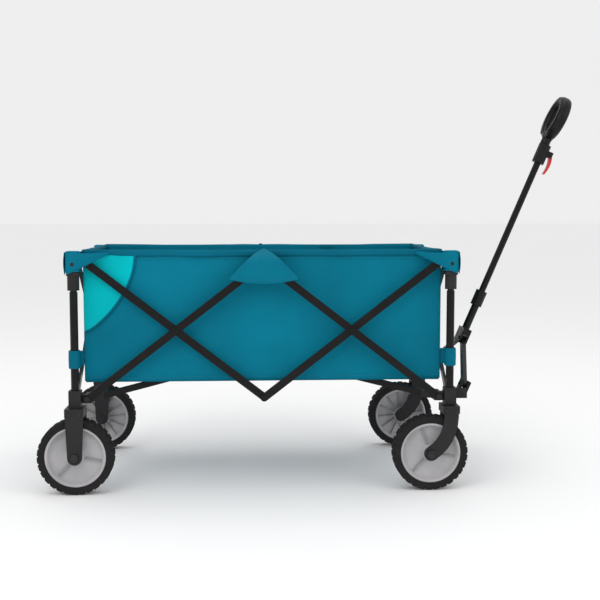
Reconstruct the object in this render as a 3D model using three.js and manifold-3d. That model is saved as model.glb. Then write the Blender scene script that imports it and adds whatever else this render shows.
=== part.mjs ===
// A folding wagon: a fabric basket in a scissor frame on four wheels, with a telescopic pull handle.
// Millimetres, +X forward, +Y left, +Z up. Places are measured from the ground under the middle
// of the basket; the last lines move the origin under the middle of the whole object's box.
// A corner is named by front (+1) or rear (-1) and by left (+1) or right (-1).

import * as THREE from "three";
import { mergeVertices } from "three/addons/utils/BufferGeometryUtils.js";
import Module from "manifold-3d";

const wasm = await Module();
wasm.setup();

// ---- Driving sizes ----
// Scissor frame: every link runs LINK_RUN across and LINK_RISE up when the wagon stands open.
// Two scissors make a side and one makes an end.
const LINK_RUN = 414;
const LINK_RISE = 320;
const LINK_HEIGHT = 18;
const LINK_THICKNESS = 6;
const LAYER_GAP = 2; // between two links that cross
const PIN_RADIUS = 4;
const PIN_CLEARANCE = 0.4;
const HEAD_RADIUS = 7;
const HEAD_THICKNESS = 3;
const HEAD_GAP = 0.5;

// Posts and their fittings
const POST_OFFSET = 27; // from the pivots out to the post, both ways
const POST_RADIUS = 9.5;
const POST_WALL = 1.2;
const INNER_POST_START = 10; // over the lower pivot
const SLIDE_CLEARANCE = 0.4; // inner post in outer post
const SIDE_LAYER_INSET = 2; // middle side layer in from the posts' line
const OVERLAP = 1; // of two shapes joined into one solid
const FITTING_HALF = 14;
const FITTING_BELOW = 18; // fitting's foot below the lower pivot
const FITTING_ABOVE = 22;
const TOP_FITTING_ABOVE = 24;
const TOP_FITTING_BELOW = 30;
const TOP_COLLAR_HEIGHT = 34;
const TOP_COLLAR_GAP = 4;
const EAR_HALF_HEIGHT = 10;
const EAR_LAP = 2; // ear into its fitting, and past the bolt head
const HINGE_PLATE_HALF = 16;
const HINGE_PLATE_BELOW = 14;
const HINGE_PLATE_ABOVE = 18;
const SEAT_GAP = 0.3; // between pieces that touch

// Wheels
const WHEEL_RADIUS = 89;
const WHEEL_WIDTH = 44;
const TYRE_SHOULDER = 5;
const TYRE_EDGE = 6; // from the tyre's side to its flat crown
const TYRE_FOOT_INSET = 3;
const RIM_RADIUS = 71;
const RIM_FLANGE = 5;
const RIM_INSET = 2; // from the tyre's side
const RIM_WEB = 8;
const HUB_RADIUS = 16;
const AXLE_RADIUS = 5;
const FORK_SIDE_GAP = 2;
const FORK_PLATE = 5;
const FORK_TOP_HALF = 22;
const FORK_END_RADIUS = 17;
const FORK_CROWN_GAP = 6; // over the tyre
const AXLE_HEAD_RADIUS = 8;
const AXLE_HEAD_THICKNESS = 3;
const CASTER_TRAIL = 47;
const CASTER_BEND = [6, 34]; // of the fork's middle line: ahead of the post, and over the axle
const SWIVEL_GAP = 2;
const SWIVEL_PLATE_DROP = 4;
const SWIVEL_CROWN_HALF = 20;
const STEM_RADIUS = 6;
const STEM_DROP = 5; // stem's end below the lower pivot
const STEM_GAP = 1;
const PIVOT_OVER_TYRE = 44;

// Spider under the floor
const ARM_HEIGHT = 14;
const ARM_THICKNESS = 12;
const ARM_WALL = 1.4;
const YOKE_ARM_THICKNESS = 10;
const ARM_INSET = 26; // arm hinge inside the corner's pivots, along the diagonal
const HUB_RISE = 63; // hub pivots over the lower pivots
const ARM_PIN_RADIUS = 3;
const CHEEK_GAP = 1;
const CHEEK = 4;
const CLEVIS_LENGTH = 32;
const CLEVIS_OFFSET = 8; // clevis middle, outward from the arm's pin
const CLEVIS_HALF_HEIGHT = 8;
const LUG_GAP = 6; // from the arm's end to the lug
const HUB_PIVOT_RADIUS = 60;
const HUB_PLATE_RADIUS = 48;
const HUB_PLATE_THICKNESS = 10;
const HUB_DROP = 10; // from the arms' line to the hub plate
const HUB_CHEEK_OUTLINE = [[36, -20], [50, -20], [68, -6], [68, 7], [54, 7], [36, -10]];
const STRAP_WIDTH = 16;
const STRAP_THICKNESS = 2.4;
const STRAP_FOOT = 8; // below the arms' line
const STRAP_LIFT = 3; // over the floor
const STRAP_EAR = 3.5;
const STRAP_EAR_GAP = 1.5;
const STRAP_EAR_HALF = 5;
const STRAP_SLOT_GAP = 3;
const STRAP_SLOT_HALF = 6;

// Pull handle, built in a frame that leans forward
const HANDLE_LEAN = THREE.MathUtils.degToRad(23);
const YOKE_REACH = 33; // yoke hinge ahead of the post
const YOKE_LIFT = 6; // and above the lower pivots
const YOKE_ARM_ANGLE = THREE.MathUtils.degToRad(26.5);
const YOKE_ARM_LIFT = 18;
const YOKE_CENTRE = 18; // arm pivots on the handle block, from the middle
const YOKE_BOX_DEPTH = 21;
const YOKE_BOX_GAP = 0.5; // inside the post fitting
const YOKE_BOX_FOOT = 9; // below its hinge
const YOKE_BOX_HEAD = 12; // over the arm's pivot
const YOKE_EAR_DEPTH = 10;
const YOKE_EAR_HALF = 12;
const YOKE_EAR_START = 10; // ahead of the post
const YOKE_EAR_NOSE = 10; // ahead of the hinge
const YOKE_HALF = 12;
const YOKE_ARM_CLEARANCE = 0.6;
const BLOCK_HALF = 30;
const BLOCK_PLATE = 5.4;
const BLOCK_PLATE_FOOT = 12; // below the arms' pivots
const BLOCK_CROWN = [12, 28]; // over the arms' pivots
const PIN_END = 2; // pin beyond the faces it holds
const HANDLE_WALL = 1.2;
const OUTER_TUBE_RADIUS = 10;
const OUTER_TUBE_LENGTH = 64;
const COLLAR_RADIUS = 15;
const COLLAR_LENGTH = 41;
const MID_TUBE_LENGTH = 491;
const MID_TUBE_START = 36; // over the arms' pivots
const CLAMP_RADIUS = 16;
const CLAMP_LENGTH = 50;
const CLAMP_OVER_TUBE = 15; // clamp above the middle tube's end
const LEVER_HINGE_X = 22;
const LEVER_HINGE_DROP = 20; // below the clamp's top
const LEVER_PIN_RADIUS = 2.5;
const LEVER_EYE_RADIUS = 4.5;
const LEVER_HALF_WIDTH = 5.4;
const LEVER_GAP = 0.6;
const LEVER_CHEEK = 3;
const LEVER_CHEEK_HALF = 7.5;
const LEVER_BULGE = 15;
const LEVER_LENGTH = 51;
const LEVER_BEND = 22; // below the hinge
const LEVER_TIP = [1, 5];
const TOP_TUBE_LENGTH = 344;
const GRIP_RADIUS = 58;
const GRIP_HOLE_RADIUS = 36;
const GRIP_THICKNESS = 28;
const NECK_RADIUS = 12;
const NECK_LENGTH = 13;
const NECK_GAP = 1; // over the clamp
const NECK_LAP = 10; // neck into the ring
const TUBE_IN_RING = 5;

// Fabric
const PANEL_THICKNESS = 4;
const SIDE_PANEL_GAP = 12; // from the innermost links' middle to the panel's outer face
const END_PANEL_GAP = 11;
const PANEL_RISE = 28; // rim above the upper pivots
const PANEL_DROP = 40; // panel's foot above the lower pivots
const FLOOR_CROWN = 44; // middle of the floor over its edges
const FLOOR_CROWN_HALF = [80, 50];

// ---- Sizes that follow ----
const HALF_LENGTH = LINK_RUN;
const HALF_WIDTH = LINK_RUN / 2;
const LINK_LENGTH = Math.hypot(LINK_RUN, LINK_RISE);
const LINK_ANGLE = Math.atan2(LINK_RISE, LINK_RUN);
const LOWER_PIVOT_Z = 2 * WHEEL_RADIUS + PIVOT_OVER_TYRE;
const UPPER_PIVOT_Z = LOWER_PIVOT_Z + LINK_RISE;
const LAYER_PITCH = LINK_THICKNESS + LAYER_GAP;
const POST_X = HALF_LENGTH + POST_OFFSET;
const POST_Y = HALF_WIDTH + POST_OFFSET;
const PIN_HOLE = PIN_RADIUS + PIN_CLEARANCE;
const LINK_FACE = LINK_THICKNESS / 2;
const PLATE_HALF = LINK_FACE - HEAD_GAP;
const FORK_HALF_GAP = WHEEL_WIDTH / 2 + FORK_SIDE_GAP;
const FITTING_FOOT_Z = LOWER_PIVOT_Z - FITTING_BELOW;
const STEM_TOP_Z = LOWER_PIVOT_Z - STEM_DROP;
const POST_TOP_Z = UPPER_PIVOT_Z - TOP_FITTING_BELOW - TOP_COLLAR_HEIGHT - TOP_COLLAR_GAP;

// Side layers count outwards: 0 inner, 1 middle, 2 outer. End layers: 0 inner, 1 outer.
const sideLayer = (i) => POST_Y - SIDE_LAYER_INSET - LAYER_PITCH * (1 - i);
const endLayer = (i) => POST_X - LAYER_PITCH * (1 - i);

const ROUND = 12; // sides of a tube
const PIN_SIDES = 8;
const CURVE_SEGMENTS = 5;
const GRIP_SEGMENTS = 18;
const WHEEL_SIDES = 20;
const HUB_SIDES = 16;
const RIGHT = -1;
const LEFT = 1;
const REAR = -1;
const FRONT = 1;
const cornerName = (front, left) => (front > 0 ? "front" : "rear") + (left > 0 ? "_left" : "_right");

// ---- Solids ----
const up = new THREE.Vector3(0, 1, 0);

function solid(geometry) {
  const plain = geometry.clone();
  plain.deleteAttribute("normal");
  plain.deleteAttribute("uv");
  const merged = mergeVertices(plain, 1e-3);
  const vertProperties = new Float32Array(merged.attributes.position.array);
  const triVerts = new Uint32Array(merged.index.array);
  return new wasm.Manifold(new wasm.Mesh({ numProp: 3, vertProperties, triVerts }));
}

const join = (...solids) => solids.reduce((all, one) => all.add(one));
const cut = (body, ...tools) => tools.reduce((rest, tool) => rest.subtract(tool), body);

function block([x0, x1], [y0, y1], [z0, z1]) {
  const box = new THREE.BoxGeometry(Math.abs(x1 - x0), Math.abs(y1 - y0), Math.abs(z1 - z0));
  return solid(box.translate((x0 + x1) / 2, (y0 + y1) / 2, (z0 + z1) / 2));
}

// A round rod from one point to another.
function rod(from, to, radius, sides = ROUND) {
  const start = new THREE.Vector3(...from);
  const along = new THREE.Vector3(...to).sub(start);
  const geometry = new THREE.CylinderGeometry(radius, radius, along.length(), sides);
  geometry.applyQuaternion(new THREE.Quaternion().setFromUnitVectors(up, along.clone().normalize()));
  const middle = start.addScaledVector(along, 0.5);
  return solid(geometry.translate(middle.x, middle.y, middle.z));
}

// A solid of revolution about Z from a closed profile of [radius, z] points.
function turned(profile, sides = ROUND) {
  const points = [...profile, profile[0]].map(([r, z]) => new THREE.Vector2(r, z));
  return solid(new THREE.LatheGeometry(points, sides).rotateX(Math.PI / 2));
}

const tube = (outer, inner, z0, z1) => turned([[inner, z0], [outer, z0], [outer, z1], [inner, z1]]);

// A flat shape given in X and Z, with its thickness from y0 to y1.
function slabXZ(shape, y0, y1) {
  const options = { depth: y1 - y0, bevelEnabled: false, curveSegments: CURVE_SEGMENTS };
  const geometry = new THREE.ExtrudeGeometry(shape, options);
  return solid(geometry.rotateX(Math.PI / 2).translate(0, y1, 0));
}

const polygon = (points) => new THREE.Shape(points.map(([x, y]) => new THREE.Vector2(x, y)));

// A bar along +X from 0 to length, with round ends, thick along Z about 0.
function barShape(length, radius) {
  const shape = new THREE.Shape();
  shape.absarc(length, 0, radius, -Math.PI / 2, Math.PI / 2, false);
  shape.absarc(0, 0, radius, Math.PI / 2, (3 * Math.PI) / 2, false);
  return shape;
}

// A flat bar along +X with a pin hole at each place in holes.
function flatBar(length, height, thickness, holes, holeRadius) {
  const options = { depth: thickness, bevelEnabled: false, curveSegments: CURVE_SEGMENTS };
  const outline = new THREE.ExtrudeGeometry(barShape(length, height / 2), options);
  const body = solid(outline.translate(0, 0, -thickness / 2));
  const drills = holes.map((x) => rod([x, 0, -thickness], [x, 0, thickness], holeRadius, PIN_SIDES));
  return cut(body, ...drills);
}

// The same bar as a tube that is open at both ends.
function tubeBar(length, height, thickness, holes, holeRadius) {
  const innerHeight = height / 2 - ARM_WALL;
  const innerThickness = thickness / 2 - ARM_WALL;
  const across = [-innerThickness, innerThickness];
  const bore = block([-height, length + height], [-innerHeight, innerHeight], across);
  return cut(flatBar(length, height, thickness, holes, holeRadius), bore);
}

// A shouldered pin along Z: shank from z0 to z1 and a flat head on each end that asks for one.
function headedPin(x, z0, z1, headBelow, headAbove) {
  const parts = [rod([x, 0, z0], [x, 0, z1], PIN_RADIUS, PIN_SIDES)];
  if (headBelow) parts.push(rod([x, 0, z0 - HEAD_THICKNESS], [x, 0, z0], HEAD_RADIUS, PIN_SIDES));
  if (headAbove) parts.push(rod([x, 0, z1], [x, 0, z1 + HEAD_THICKNESS], HEAD_RADIUS, PIN_SIDES));
  return join(...parts);
}

// ---- Scene graph ----
const finishes = {
  steel: { color: 0x1e1b1c, roughness: 0.45, metalness: 0.6 },
  fitting: { color: 0x3f3d3e, roughness: 0.6, metalness: 0 },
  rim: { color: 0xb9b7b9, roughness: 0.5, metalness: 0 },
  tyre: { color: 0x2f2c2d, roughness: 0.85, metalness: 0 },
  fabric: { color: 0x067a92, roughness: 0.9, metalness: 0 },
  webbing: { color: 0x171717, roughness: 0.9, metalness: 0 },
  grip: { color: 0x141414, roughness: 0.55, metalness: 0 },
  lever: { color: 0xc03030, roughness: 0.45, metalness: 0 },
};

const wagon = new THREE.Group();

function addPart(name, shape, finish, parent = wagon) {
  const { vertProperties, triVerts } = shape.getMesh();
  const geometry = new THREE.BufferGeometry();
  geometry.setAttribute("position", new THREE.BufferAttribute(vertProperties, 3));
  geometry.setIndex(new THREE.BufferAttribute(triVerts, 1));
  geometry.computeVertexNormals();
  const mesh = new THREE.Mesh(geometry, new THREE.MeshStandardMaterial(finishes[finish]));
  mesh.name = name;
  parent.add(mesh);
  return mesh;
}

// Blocks and rods of one corner, written for the front left and mirrored to the others.
function cornerTools(front, left) {
  const flip = ([x, y, z]) => [front * x, left * y, z];
  return {
    block: ([x0, x1], [y0, y1], z) => block([front * x0, front * x1], [left * y0, left * y1], z),
    rod: (from, to, radius, sides = PIN_SIDES) => rod(flip(from), flip(to), radius, sides),
  };
}

// The ear and pin that carry one link end. The link lies in one layer and the ear in another.
// The pin runs along X for an end scissor and along Y for a side scissor.
function linkEar(tools, z, linkAt, earFrom, earTo, alongX) {
  const outward = linkAt > earTo;
  const shankStart = (earFrom + earTo) / 2;
  const face = linkAt + (outward ? 1 : -1) * (LINK_THICKNESS / 2 + HEAD_GAP);
  const headEnd = face + (outward ? 1 : -1) * HEAD_THICKNESS;
  const pivot = alongX ? HALF_WIDTH : HALF_LENGTH;
  const run = [pivot - HEAD_RADIUS - EAR_LAP, pivot + POST_OFFSET - FITTING_HALF + EAR_LAP];
  const heights = [z - EAR_HALF_HEIGHT, z + EAR_HALF_HEIGHT];
  const point = (across) => (alongX ? [across, pivot, z] : [pivot, across, z]);
  const ear = alongX
    ? tools.block([earFrom, earTo], run, heights)
    : tools.block(run, [earFrom, earTo], heights);
  const shank = tools.rod(point(shankStart), point(face), PIN_RADIUS);
  return join(ear, shank, tools.rod(point(face), point(headEnd), HEAD_RADIUS));
}

// Layers of the links that end at a corner.
const lowerSideLink = (front) => (front > 0 ? 2 : 1);
const upperSideLink = (front) => (front > 0 ? 1 : 0);
const upperSideEar = (front) => (front > 0 ? 0 : 1);
const lowerEndLink = (left) => (left > 0 ? 0 : 1);
const upperEndLink = (left) => (left > 0 ? 1 : 0);

function endEar(tools, z, linkIndex) {
  const ear = endLayer(1 - linkIndex);
  return linkEar(tools, z, endLayer(linkIndex), ear - PLATE_HALF, ear + PLATE_HALF, true);
}

// ---- Lower fittings, posts and top fittings ----
const DIAGONAL = Math.atan2(HALF_WIDTH, HALF_LENGTH);
const ARM_HINGE_X = HALF_LENGTH - ARM_INSET * Math.cos(DIAGONAL);
const ARM_HINGE_Y = HALF_WIDTH - ARM_INSET * Math.sin(DIAGONAL);
const CHEEK_IN = ARM_THICKNESS / 2 + CHEEK_GAP;

// Two cheeks and a pin for a spider arm, joined to the side ear by a lug.
function armClevis(tools, front, left) {
  const heights = [LOWER_PIVOT_Z - EAR_HALF_HEIGHT, LOWER_PIVOT_Z + EAR_HALF_HEIGHT];
  const lugStart = ARM_HINGE_X + ARM_HEIGHT / 2 + LUG_GAP;
  const lugWidth = [ARM_HINGE_Y - HEAD_RADIUS, HALF_WIDTH + HEAD_RADIUS + OVERLAP];
  const lug = tools.block([lugStart, HALF_LENGTH + HEAD_RADIUS], lugWidth, heights);
  const turn = Math.atan2(left * Math.sin(DIAGONAL), front * Math.cos(DIAGONAL));
  const cheekAt = (w) => {
    const geometry = new THREE.BoxGeometry(CLEVIS_LENGTH, CHEEK, 2 * CLEVIS_HALF_HEIGHT);
    geometry.translate(CLEVIS_OFFSET, w, 0);
    geometry.rotateZ(turn).translate(front * ARM_HINGE_X, left * ARM_HINGE_Y, LOWER_PIVOT_Z);
    return solid(geometry);
  };
  const cheekMiddle = CHEEK_IN + CHEEK / 2;
  const reach = CHEEK_IN + CHEEK;
  const acrossX = -Math.sin(turn) * reach;
  const acrossY = Math.cos(turn) * reach;
  const hinge = [front * ARM_HINGE_X, left * ARM_HINGE_Y, LOWER_PIVOT_Z];
  const from = [hinge[0] - acrossX, hinge[1] - acrossY, hinge[2]];
  const to = [hinge[0] + acrossX, hinge[1] + acrossY, hinge[2]];
  return join(lug, cheekAt(cheekMiddle), cheekAt(-cheekMiddle), rod(from, to, ARM_PIN_RADIUS));
}

const YOKE_HINGE_X = POST_X + YOKE_REACH;
const YOKE_HINGE_Z = LOWER_PIVOT_Z + YOKE_LIFT;
const FITTING_INNER_Y = POST_Y - FITTING_HALF;
const YOKE_BOX_OUTER = FITTING_INNER_Y - YOKE_BOX_GAP;
const YOKE_BOX_Y = [YOKE_BOX_OUTER - YOKE_BOX_DEPTH, YOKE_BOX_OUTER];
const YOKE_EAR_Y = [FITTING_INNER_Y + OVERLAP, FITTING_INNER_Y + OVERLAP + YOKE_EAR_DEPTH];

// The ear on a front fitting that carries the yoke's hinge pin.
function yokeEar(tools) {
  const reach = [POST_X + YOKE_EAR_START, YOKE_HINGE_X + YOKE_EAR_NOSE];
  const heights = [YOKE_HINGE_Z - YOKE_EAR_HALF, YOKE_HINGE_Z + YOKE_EAR_HALF];
  const ear = tools.block(reach, YOKE_EAR_Y, heights);
  const headStart = YOKE_BOX_Y[0] - HEAD_GAP;
  const at = (y) => [YOKE_HINGE_X, y, YOKE_HINGE_Z];
  const head = tools.rod(at(headStart), at(headStart - HEAD_THICKNESS), HEAD_RADIUS);
  return join(ear, tools.rod(at(YOKE_EAR_Y[0]), at(headStart), PIN_RADIUS), head);
}

function lowerFitting(front, left) {
  const tools = cornerTools(front, left);
  const body = tools.block(
    [POST_X - FITTING_HALF, POST_X + FITTING_HALF],
    [POST_Y - FITTING_HALF, POST_Y + FITTING_HALF],
    [FITTING_FOOT_Z, LOWER_PIVOT_Z + FITTING_ABOVE],
  );
  const link = lowerSideLink(front);
  const earEnd = sideLayer(link - 1) + PLATE_HALF;
  const earStart = HALF_WIDTH + HEAD_RADIUS;
  const sideEar = linkEar(tools, LOWER_PIVOT_Z, sideLayer(link), earStart, earEnd, false);
  const roomStart = [endLayer(0) - LINK_FACE - HEAD_GAP, HALF_WIDTH, LOWER_PIVOT_Z];
  const roomEnd = [POST_X, HALF_WIDTH, LOWER_PIVOT_Z];
  const endLinkRoom = tools.rod(roomStart, roomEnd, LINK_HEIGHT / 2 + LAYER_GAP, ROUND);
  const endsEar = endEar(tools, LOWER_PIVOT_Z, lowerEndLink(left));
  const pieces = [body, cut(sideEar, endLinkRoom), endsEar, armClevis(tools, front, left)];
  if (front > 0) pieces.push(yokeEar(tools));
  const at = (z) => [POST_X, POST_Y, z];
  const socket = tools.rod(at(LOWER_PIVOT_Z), at(UPPER_PIVOT_Z), POST_RADIUS + SEAT_GAP, ROUND);
  if (front < 0) return cut(join(...pieces), socket);
  const stemHole = STEM_RADIUS + PIN_CLEARANCE;
  const stemBore = tools.rod(at(FITTING_FOOT_Z - OVERLAP), at(STEM_TOP_Z + STEM_GAP), stemHole, ROUND);
  return cut(join(...pieces), socket, stemBore);
}

function topFitting(front, left) {
  const tools = cornerTools(front, left);
  const under = UPPER_PIVOT_Z - TOP_FITTING_BELOW;
  const body = tools.block(
    [POST_X - FITTING_HALF, POST_X + FITTING_HALF],
    [POST_Y - FITTING_HALF, POST_Y + FITTING_HALF],
    [under, UPPER_PIVOT_Z + TOP_FITTING_ABOVE],
  );
  const ear = sideLayer(upperSideEar(front));
  const link = sideLayer(upperSideLink(front));
  const sideEar = linkEar(tools, UPPER_PIVOT_Z, link, ear - PLATE_HALF, ear + PLATE_HALF, false);
  const endsEar = endEar(tools, UPPER_PIVOT_Z, upperEndLink(left));
  const at = (z) => [POST_X, POST_Y, z];
  const collar = tools.rod(at(under - TOP_COLLAR_HEIGHT), at(under + OVERLAP), FITTING_HALF, ROUND);
  const innerRadius = POST_RADIUS - POST_WALL - SLIDE_CLEARANCE;
  const foot = LOWER_PIVOT_Z + INNER_POST_START;
  const innerPost = tools.rod(at(foot), at(under), innerRadius, ROUND);
  const hollowTop = at(under - TOP_COLLAR_HEIGHT);
  const hollow = tools.rod(at(foot - OVERLAP), hollowTop, innerRadius - POST_WALL, ROUND);
  return cut(join(body, sideEar, endsEar, collar, innerPost), hollow);
}

// ---- Wheels and forks ----
function rimSolid() {
  const half = WHEEL_WIDTH / 2 - RIM_INSET;
  const web = RIM_WEB / 2;
  const flange = RIM_RADIUS - RIM_FLANGE;
  const bore = AXLE_RADIUS + PIN_CLEARANCE;
  return turned([
    [bore, -half], [HUB_RADIUS, -half], [HUB_RADIUS, -web], [flange, -web],
    [flange, -half], [RIM_RADIUS, -half], [RIM_RADIUS, half], [flange, half],
    [flange, web], [HUB_RADIUS, web], [HUB_RADIUS, half], [bore, half],
  ], WHEEL_SIDES);
}

function tyreSolid() {
  const half = WHEEL_WIDTH / 2;
  const seat = RIM_RADIUS + SEAT_GAP;
  const foot = half - TYRE_FOOT_INSET;
  const edge = half - TYRE_EDGE;
  const shoulder = WHEEL_RADIUS - TYRE_SHOULDER;
  return turned([
    [seat, -foot], [shoulder, -half], [WHEEL_RADIUS, -edge],
    [WHEEL_RADIUS, edge], [shoulder, half], [seat, foot],
  ], WHEEL_SIDES);
}

// Both fork plates, the crown over the tyre and the axle bolt, about the post's axis at the ground.
function forkSolid(plateShape, crownHalf, crownTop, axleX) {
  const inner = FORK_HALF_GAP;
  const outer = inner + FORK_PLATE;
  const crownFoot = 2 * WHEEL_RADIUS + FORK_CROWN_GAP;
  const crown = block([-crownHalf, crownHalf], [-outer, outer], [crownFoot, crownTop]);
  const round = (y0, y1, radius) => rod([axleX, y0, WHEEL_RADIUS], [axleX, y1, WHEEL_RADIUS], radius);
  const headStart = outer - OVERLAP;
  const headEnd = outer + AXLE_HEAD_THICKNESS;
  const axle = join(
    round(-outer - OVERLAP, outer + OVERLAP, AXLE_RADIUS),
    round(headStart, headEnd, AXLE_HEAD_RADIUS),
    round(-headStart, -headEnd, AXLE_HEAD_RADIUS),
  );
  return join(crown, slabXZ(plateShape, inner, outer), slabXZ(plateShape, -outer, -inner), axle);
}

function rearForkPlate(top) {
  const shape = new THREE.Shape();
  shape.moveTo(FORK_TOP_HALF, top);
  shape.lineTo(-FORK_TOP_HALF, top);
  shape.absarc(0, WHEEL_RADIUS, FORK_END_RADIUS, Math.PI, 2 * Math.PI, false);
  shape.closePath();
  return shape;
}

// A swept plate from the swivel down and back to the axle, of even width with a round end.
function casterPlate(top) {
  const line = new THREE.QuadraticBezierCurve(
    new THREE.Vector2(0, top),
    new THREE.Vector2(CASTER_BEND[0], WHEEL_RADIUS + CASTER_BEND[1]),
    new THREE.Vector2(-CASTER_TRAIL, WHEEL_RADIUS),
  );
  const steps = 7;
  const edge = (sign) =>
    Array.from({ length: steps + 1 }, (_, i) => {
      const along = line.getTangent(i / steps);
      const across = new THREE.Vector2(-along.y, along.x);
      return line.getPoint(i / steps).addScaledVector(across, sign * FORK_END_RADIUS);
    });
  const shape = new THREE.Shape(edge(1));
  const end = line.getTangent(1);
  const start = Math.atan2(end.x, -end.y);
  shape.absarc(-CASTER_TRAIL, WHEEL_RADIUS, FORK_END_RADIUS, start, start - Math.PI, true);
  edge(-1).reverse().forEach((p) => shape.lineTo(p.x, p.y));
  return shape;
}

function addWheel(front, left) {
  const corner = cornerName(front, left);
  const x = front * POST_X - (front > 0 ? CASTER_TRAIL : 0);
  const wheel = new THREE.Group();
  wheel.position.set(x, left * POST_Y, WHEEL_RADIUS);
  wheel.rotation.x = Math.PI / 2;
  wagon.add(wheel);
  addPart("rim_" + corner, rimSolid(), "rim", wheel);
  addPart("tyre_" + corner, tyreSolid(), "tyre", wheel);
}

function addFork(front, left) {
  let fork;
  if (front > 0) {
    const top = FITTING_FOOT_Z - SWIVEL_GAP;
    const stem = rod([0, 0, top - OVERLAP], [0, 0, STEM_TOP_Z], STEM_RADIUS);
    const plate = casterPlate(top - SWIVEL_PLATE_DROP);
    fork = join(forkSolid(plate, SWIVEL_CROWN_HALF, top, -CASTER_TRAIL), stem);
  } else {
    const top = FITTING_FOOT_Z - SEAT_GAP;
    fork = forkSolid(rearForkPlate(top - OVERLAP), FORK_TOP_HALF, top, 0);
  }
  const name = (front > 0 ? "caster_fork_" : "fixed_fork_") + cornerName(front, left);
  addPart(name, fork, "fitting").position.set(front * POST_X, left * POST_Y, 0);
}

// ---- Scissor links ----
// In the bar's own frame +X runs along it and +Z points out of the wagon.
function addSideLink(name, from, angle, layer, left, extras) {
  const bar = flatBar(LINK_LENGTH, LINK_HEIGHT, LINK_THICKNESS, extras.holes, PIN_HOLE);
  const shape = extras.pins.length ? join(bar, ...extras.pins) : bar;
  const plane = new THREE.Group();
  plane.rotation.x = Math.PI / 2;
  wagon.add(plane);
  const mesh = addPart(name, left < 0 ? shape : shape.mirror([0, 0, 1]), "steel", plane);
  mesh.position.set(from[0], from[1], -left * sideLayer(layer));
  mesh.rotation.z = angle;
}

const HALF_LINK = LINK_LENGTH / 2;
// A pin fixed in a bar that reaches in through the next bar, with a head on both outer faces.
const crossPin = (x) => headedPin(x, -LAYER_PITCH - LINK_FACE - HEAD_GAP, LINK_FACE, true, true);

function addSideLinks(left) {
  const side = left > 0 ? "_left" : "_right";
  const lower = LOWER_PIVOT_Z;
  const upper = UPPER_PIVOT_Z;
  const ends = [0, LINK_LENGTH];
  const all = [0, HALF_LINK, LINK_LENGTH];
  const plain = (holes) => ({ holes, pins: [] });
  const pinned = { holes: ends, pins: [crossPin(HALF_LINK)] };
  const twicePinned = { holes: [HALF_LINK, LINK_LENGTH], pins: [crossPin(0)] };
  addSideLink("link_rear_rising" + side, [-HALF_LENGTH, lower], LINK_ANGLE, 1, left, pinned);
  addSideLink("link_rear_falling" + side, [-HALF_LENGTH, upper], -LINK_ANGLE, 0, left, plain(all));
  addSideLink("link_front_falling" + side, [0, upper], -LINK_ANGLE, 2, left, pinned);
  addSideLink("link_front_rising" + side, [0, lower], LINK_ANGLE, 1, left, twicePinned);
}

// The turn that takes +X and +Y to two directions at right angles.
function turnTo(xTo, yTo) {
  const x = new THREE.Vector3(...xTo);
  const y = new THREE.Vector3(...yTo);
  const basis = new THREE.Matrix4().makeBasis(x, y, x.clone().cross(y));
  return new THREE.Quaternion().setFromRotationMatrix(basis);
}

// The end scissors, seen along X: the rising bar goes from lower right to upper left.
function addEndLinks(front) {
  const end = front > 0 ? "_front" : "_rear";
  const plane = new THREE.Group();
  plane.quaternion.copy(turnTo([0, 1, 0], [0, 0, 1]));
  wagon.add(plane);
  const pin = crossPin(HALF_LINK);
  const bar = (holes) => flatBar(LINK_LENGTH, LINK_HEIGHT, LINK_THICKNESS, holes, PIN_HOLE);
  const rising = join(bar([0, LINK_LENGTH]), pin);
  const falling = bar([0, HALF_LINK, LINK_LENGTH]);
  const place = (name, shape, z, angle, layer) => {
    const mesh = addPart(name, front > 0 ? shape : shape.mirror([0, 0, 1]), "steel", plane);
    mesh.position.set(-HALF_WIDTH, z, front * endLayer(layer));
    mesh.rotation.z = angle;
  };
  place("end_link_rising" + end, rising, LOWER_PIVOT_Z, LINK_ANGLE, 1);
  place("end_link_falling" + end, falling, UPPER_PIVOT_Z, -LINK_ANGLE, 0);
}

// The hinge plate at the top middle of a side, with the pin that both tall links turn on.
function addTopHinge(left) {
  const ear = sideLayer(0);
  const face = sideLayer(2) + LINK_FACE + HEAD_GAP;
  const plate = block(
    [-HINGE_PLATE_HALF, HINGE_PLATE_HALF],
    [left * (ear - PLATE_HALF), left * (ear + PLATE_HALF)],
    [UPPER_PIVOT_Z - HINGE_PLATE_BELOW, UPPER_PIVOT_Z + HINGE_PLATE_ABOVE],
  );
  const at = (y) => [0, left * y, UPPER_PIVOT_Z];
  const head = rod(at(face), at(face + HEAD_THICKNESS), HEAD_RADIUS);
  const shape = join(plate, rod(at(ear), at(face), PIN_RADIUS), head);
  addPart("top_hinge" + (left > 0 ? "_left" : "_right"), shape, "fitting");
}

// ---- Spider ----
const CORNER_RADIUS = Math.hypot(HALF_LENGTH, HALF_WIDTH);
const ARM_REACH = CORNER_RADIUS - ARM_INSET - HUB_PIVOT_RADIUS;
const ARM_LENGTH = Math.hypot(ARM_REACH, HUB_RISE);
const ARM_PITCH = Math.atan2(HUB_RISE, ARM_REACH);
const HUB_Z = LOWER_PIVOT_Z + HUB_RISE;

function addSpiderArm(front, left) {
  const bar = tubeBar(ARM_LENGTH, ARM_HEIGHT, ARM_THICKNESS, [0], ARM_PIN_RADIUS + PIN_CLEARANCE);
  const stand = new THREE.Group();
  stand.position.set(front * ARM_HINGE_X, left * ARM_HINGE_Y, LOWER_PIVOT_Z);
  stand.rotation.z = Math.atan2(-left * HALF_WIDTH, -front * HALF_LENGTH);
  const tilt = new THREE.Group();
  tilt.rotation.set(Math.PI / 2, 0, 0);
  stand.add(tilt);
  wagon.add(stand);
  addPart("spider_arm_" + cornerName(front, left), bar, "steel", tilt).rotation.z = ARM_PITCH;
}

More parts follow.
